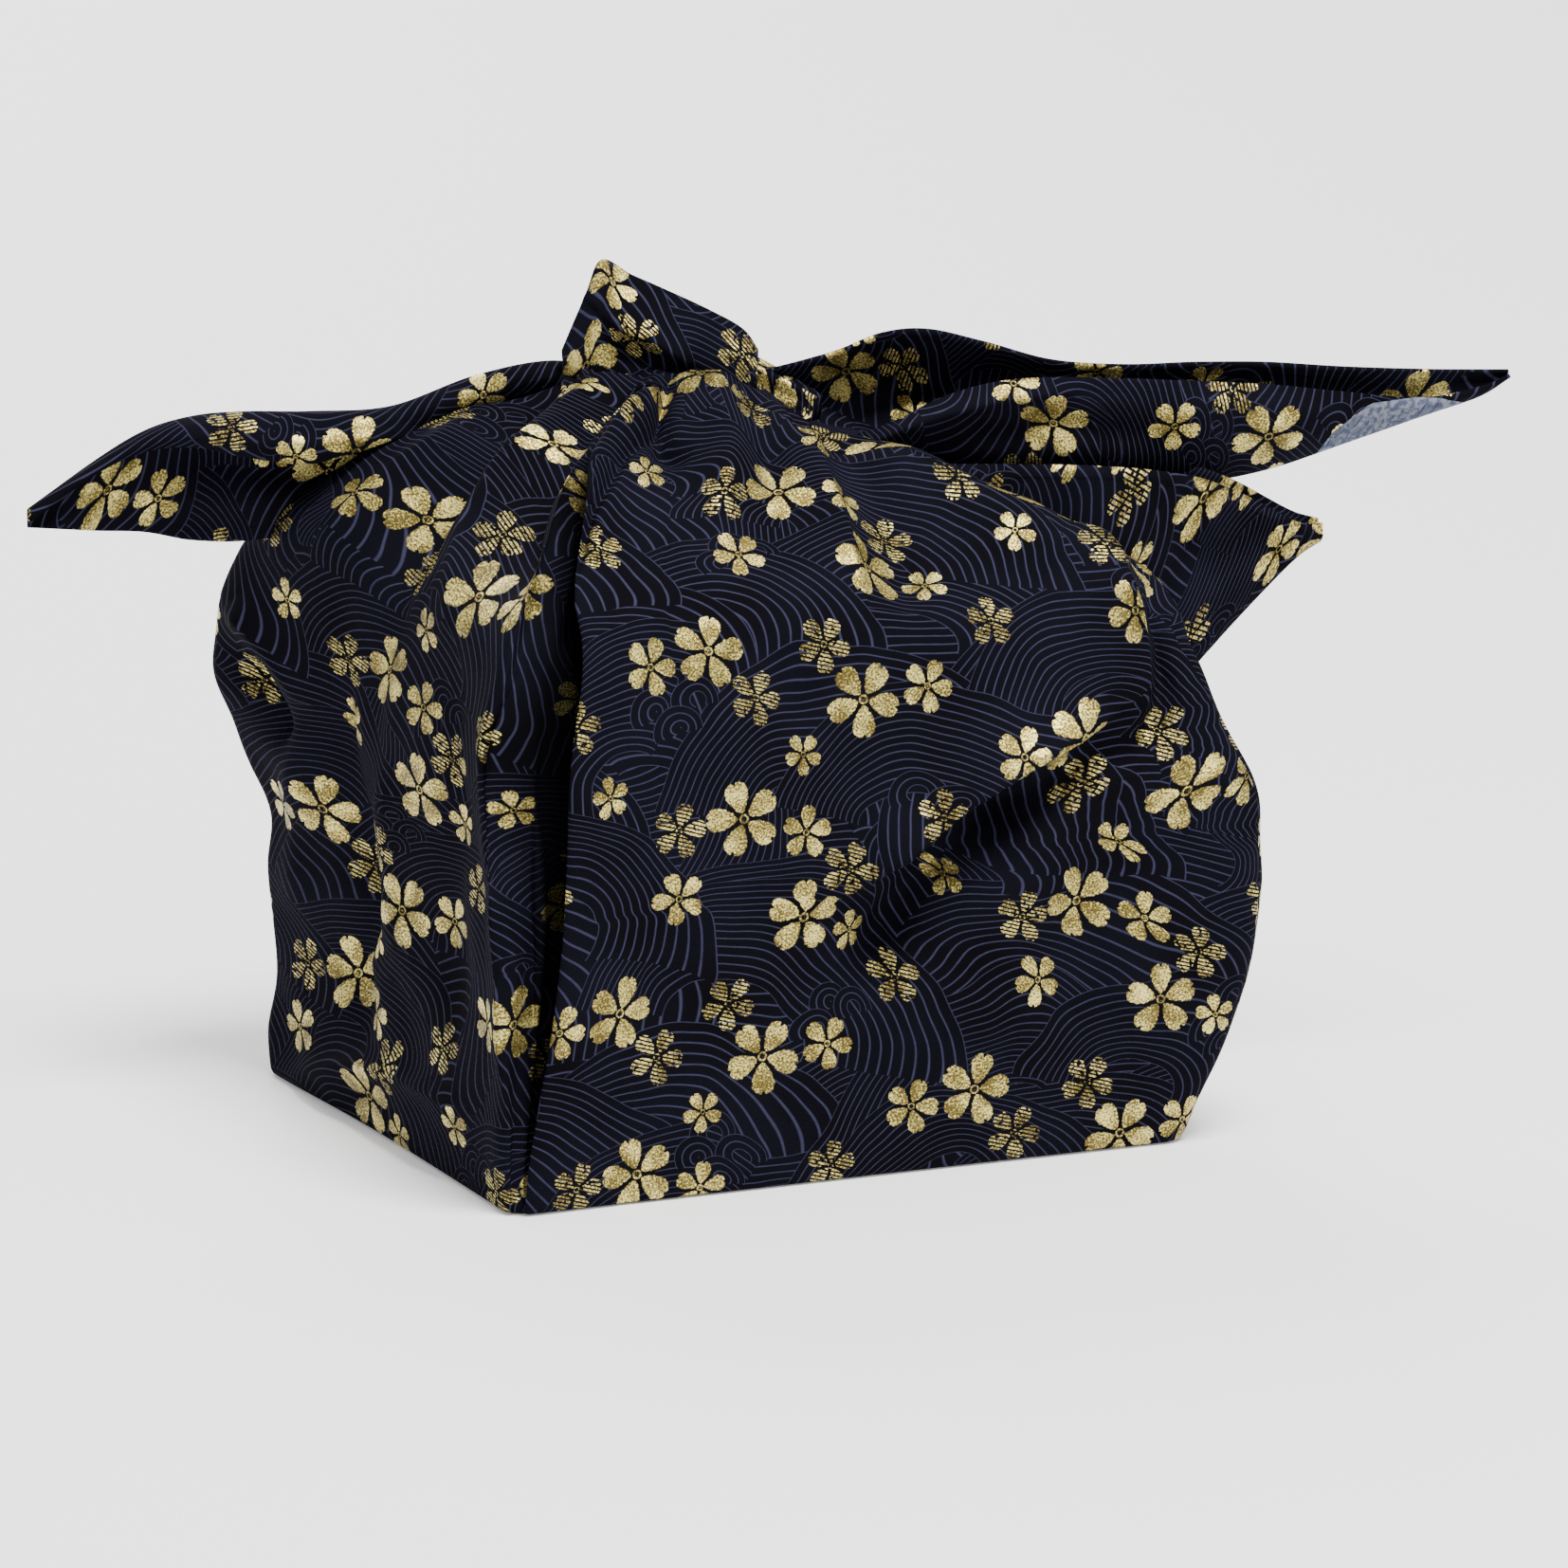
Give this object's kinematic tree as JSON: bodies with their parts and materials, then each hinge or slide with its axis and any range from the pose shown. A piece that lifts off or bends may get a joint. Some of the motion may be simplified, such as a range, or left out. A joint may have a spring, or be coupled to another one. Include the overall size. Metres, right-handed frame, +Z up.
{
  "type": "furoshiki wrap",
  "caption": "Square wrapping cloth drawn up round a box-shaped load and tied on top, with folded tails spreading left and right and an upright corner behind the knot.",
  "frame": {"origin": "on the surface that the bundle rests on, under the middle of the bundle's base", "axes": "+Z up, +X along the front face to the right, +Y away from the viewer"},
  "size_m": [0.332, 0.1581, 0.1973],
  "materials": {
    "cloth": "matt navy cotton with a gold flower print"
  },
  "bodies": {
    "root": {"wrap": "cloth"}
  },
  "joints": []
}
